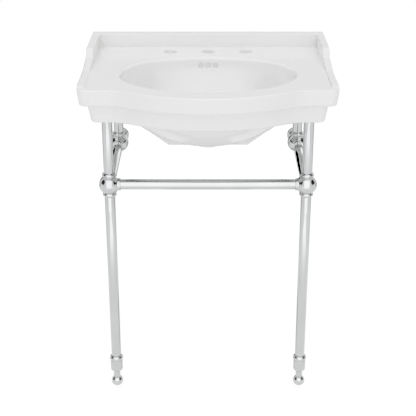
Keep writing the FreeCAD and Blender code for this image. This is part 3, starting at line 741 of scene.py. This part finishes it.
# %% [markdown]
# ## Chrome
#
# Chrome plate over polished brass reflects a little more than half the light at every colour, with a trace
# of blue. It is never perfectly sharp: polishing leaves fine lines round a tube, hands leave faint smudges,
# and both show as small changes in how tightly it reflects. The lines are noise squeezed along the upright
# axis.

# %% Chrome
chrome, shader, place = finish_start("chrome_plate")
smudge = noise(place, 18.0, 3.0).above(0.5, 0.35)
lines = noise(place, 1.0, 2.0, stretch=(120.0, 120.0, 2600.0))
water = noise(place, 60.0, 1.0).above(0.68, 0.05)
tint = blended(smudge, (0.565, 0.572, 0.575, 1), (0.545, 0.552, 0.556, 1))
connect(shader, "Base Color", tint)
shader.inputs["Metallic"].default_value = 1.0
connect(shader, "Roughness", 0.03 + 0.035 * smudge + 0.015 * lines + 0.04 * water)
bumped(shader, noise(place, 45.0, 2.0) * 0.5 + lines * 0.03, 0.00015)
for node, piece in {**stand, **feet}.items():
    if node != "basin":
        piece.data.materials.clear()
        piece.data.materials.append(chrome)
print("chrome plate:", len(chrome.node_tree.nodes), "nodes")

# %% [markdown]
# ## Hidden pieces
#
# The rubber caps, brass bushes, wall anchors and set screws have the right shape in the CAD model. They
# keep it and only get a finish: matt rubber with a moulded grain, turned brass, and plain steel with a dark
# socket.

# %% Rubber, brass and steel
def plain_finish(name, low, high, metallic, rough, grain, stretch, depth):
    """A material with two close colours, an uneven roughness and a fine grain."""
    material, shader, place = finish_start(name)
    pattern = noise(place, grain, 3.0, stretch)
    connect(shader, "Base Color", blended(pattern, low, high))
    connect(shader, "Roughness", rough + 0.12 * pattern)
    shader.inputs["Metallic"].default_value = metallic
    bumped(shader, pattern, depth)
    return material


rubber = plain_finish("cap_rubber", (0.012, 0.012, 0.013, 1), (0.03, 0.03, 0.032, 1), 0.0, 0.7, 900.0,
                      None, 0.0002)
brass = plain_finish("turned_brass", (0.62, 0.45, 0.20, 1), (0.72, 0.55, 0.28, 1), 1.0, 0.22, 1.0,
                     (150.0, 150.0, 2200.0), 0.00008)
steel = plain_finish("screw_steel", (0.30, 0.30, 0.31, 1), (0.42, 0.42, 0.43, 1), 1.0, 0.3, 1200.0,
                     None, 0.00005)
hidden = {"support_pad": rubber, "thread_insert": brass, "wall_anchor": brass, "grub_screws": steel}
dressed = 0
for node, item in frame["nodes"].items():
    for word, material in hidden.items():
        if word in node:
            item.data.materials.clear()
            item.data.materials.append(material)
            dressed += 1
print(dressed, "CAD nodes keep their shape and get a finish")

# %% [markdown]
# ## Floor
#
# The photograph was made in a white studio, so the floor is pale and keeps only a soft shadow under the
# feet. It lies 16 mm below the place where the feet stand at rest: the sink is the body that stays put, so
# a foot that is screwed out by 15 mm goes down, and a floor at its rest height would cut the ball in half.
#
# What the camera sees of the floor is nearly white. What chrome and glaze mirror of it is a separate glow:
# bright in front, where the studio's large light lies on it, and dimmer under the bowl and far behind,
# where the sink and the room behind it keep the light away. Without the dim part, the belly of the bowl
# gets a white rim.

# %% Floor
FLOOR_RADIUS, FLOOR_DROP = 4.2, 16.0
SEEN_WHITE, SEEN_SHARE = 1.08, 0.8
GLOW, GLOW_IN_FRONT, GLOW_LOST = 1.07, 0.5, 0.45
bpy.ops.mesh.primitive_circle_add(vertices=128, radius=FLOOR_RADIUS, fill_type="NGON",
                                  location=(0, 0, -FLOOR_DROP * MM))
floor = bpy.context.object
floor.name = "studio_floor"
floor_paint = bpy.data.materials.new("studio_floor")
floor_paint.use_nodes = True
tree = floor_paint.node_tree
tree.nodes.clear()
start = Signal(tree)
place = start.node("ShaderNodeTexCoord", output=3)
across = place.node("ShaderNodeSeparateXYZ", {}, {0: place}, output=0)
along = place.node("ShaderNodeSeparateXYZ", {}, {0: place}, output=1)
off_centre = across.maths("ABSOLUTE", across)
seen = start.node("ShaderNodeLightPath", output=0)
mirrored = start.node("ShaderNodeLightPath", output=3)
in_front = (0.0 - along).above(1.3, 1.5) * (1.0 - off_centre.above(1.25, 0.5))
far_behind = along.above(0.65, 0.7)
under_bowl_floor = along.above(0.0, 0.4) * (1.0 - off_centre.above(0.18, 0.08))
dim = far_behind.maths("MAXIMUM", far_behind, under_bowl_floor)
strength = GLOW + GLOW_IN_FRONT * in_front - GLOW_LOST * dim
matt = start.node("ShaderNodeBsdfDiffuse", {}, {"Color": (0.95, 0.95, 0.95, 1)})
white = start.node("ShaderNodeEmission", {}, {"Color": (1, 1, 1, 1), "Strength": SEEN_WHITE})
glow = start.node("ShaderNodeEmission", {}, {"Color": (1, 1, 1, 1), "Strength": strength})
for_camera = start.node("ShaderNodeMixShader", {}, {0: SEEN_SHARE, 1: matt, 2: white})
mixed = start.node("ShaderNodeMixShader", {}, {0: seen, 1: matt, 2: for_camera})
mixed = start.node("ShaderNodeMixShader", {}, {0: mirrored, 1: mixed, 2: glow})
surface = tree.nodes.new("ShaderNodeOutputMaterial")
tree.links.new(mixed.socket, surface.inputs[0])
floor.data.materials.append(floor_paint)
print("floor:", len(tree.nodes), "nodes")

# %% [markdown]
# ## World
#
# China asks for light from everywhere, so that its shadows stay pale: a plain level, a little more from the
# front and from overhead, a little less from the sides. Chrome asks for something to reflect, so mirrored
# rays see a field of their own: the front light as a bright patch, two dark flags at the sides, which give
# the small near-black marks on the balls, and a dark and a bright panel low behind, which give the side
# rails their black and white streaks. The camera sees plain white. Places in the world are directions: x, y
# and z run from -1 to 1, and a field's edges are soft steps on them.

# %% World
DIFFUSE, FROM_FRONT, FROM_ABOVE, SIDES_LOST = 0.715, 0.2, 0.22, 0.13
FRONT_FIELD, FLAG_DEPTH, BEHIND_LOST = 0.6, 0.97, 0.33
BRIGHT_PANEL, DARK_PANEL = 0.6, 0.9
world = bpy.context.scene.world or bpy.data.worlds.new("studio")
bpy.context.scene.world = world
world.use_nodes = True
tree = world.node_tree
tree.nodes.clear()
start = Signal(tree)
direction = start.node("ShaderNodeTexCoord", output=0)
x, y, z = (start.node("ShaderNodeSeparateXYZ", {}, {0: direction}, output=axis) for axis in range(3))
seen = start.node("ShaderNodeLightPath", output=0)
mirrored = start.node("ShaderNodeLightPath", output=3)
sideways = x.maths("ABSOLUTE", x)
beside = y + 0.12
front_light = (0.0 - y).above(0.42, 0.12) * (1.0 - sideways.above(0.52, 0.12))
flags = sideways.above(0.72, 0.08) * z.above(0.06, 0.08) * (1.0 - z.above(0.72, 0.08))
flags = flags * (1.0 - beside.maths("ABSOLUTE", beside).above(0.38, 0.1))
behind = y.above(0.6, 0.3) * (1.0 - z.above(0.62, 0.1))
low_behind = y.above(0.8, 0.1) * (1.0 - z.above(0.2, 0.05))
panels = BRIGHT_PANEL * x.above(0.2, 0.06) - DARK_PANEL * (0.0 - x).above(0.23, 0.08)
field = (1.0 + FRONT_FIELD * front_light) * (1.0 - FLAG_DEPTH * flags) * (1.0 - BEHIND_LOST * behind)
field = field + low_behind * panels
plain = DIFFUSE + FROM_FRONT * front_light + FROM_ABOVE * z.above(0.72, 0.3)
plain = plain - SIDES_LOST * sideways.above(0.7, 0.3)
level = mirrored * field + (1.0 - mirrored) * plain
level = seen + (1.0 - seen) * level
backdrop = start.node("ShaderNodeBackground", {}, {0: (1, 1, 1, 1), 1: level})
surface = tree.nodes.new("ShaderNodeOutputWorld")
tree.links.new(backdrop.socket, surface.inputs[0])
print("world:", len(tree.nodes), "nodes")

# %% [markdown]
# ## Light
#
# One large soft lamp stands in front, above and to the left. It is weak: the world does most of the
# lighting, and the lamp only turns the forms a little. Mirrored rays don't see it, because the bright field
# takes its place.

# %% Light
LAMP_PLACE, LAMP_TILT, LAMP_SWING = (-0.6, -1.6, 2.6), 36, -18
LAMP_WIDE, LAMP_DEEP, LAMP_WATTS = 1.8, 1.4, 1.0
bpy.ops.object.light_add(type="AREA", location=LAMP_PLACE,
                         rotation=(math.radians(LAMP_TILT), 0, math.radians(LAMP_SWING)))
lamp = bpy.context.object
lamp.name = "soft_light"
lamp.data.shape = "RECTANGLE"
lamp.data.size, lamp.data.size_y = LAMP_WIDE, LAMP_DEEP
lamp.data.energy = LAMP_WATTS
lamp.visible_camera = False
lamp.visible_glossy = False
bpy.context.scene.view_settings.view_transform = "Standard"
print("one soft lamp of", lamp.data.energy, "W")
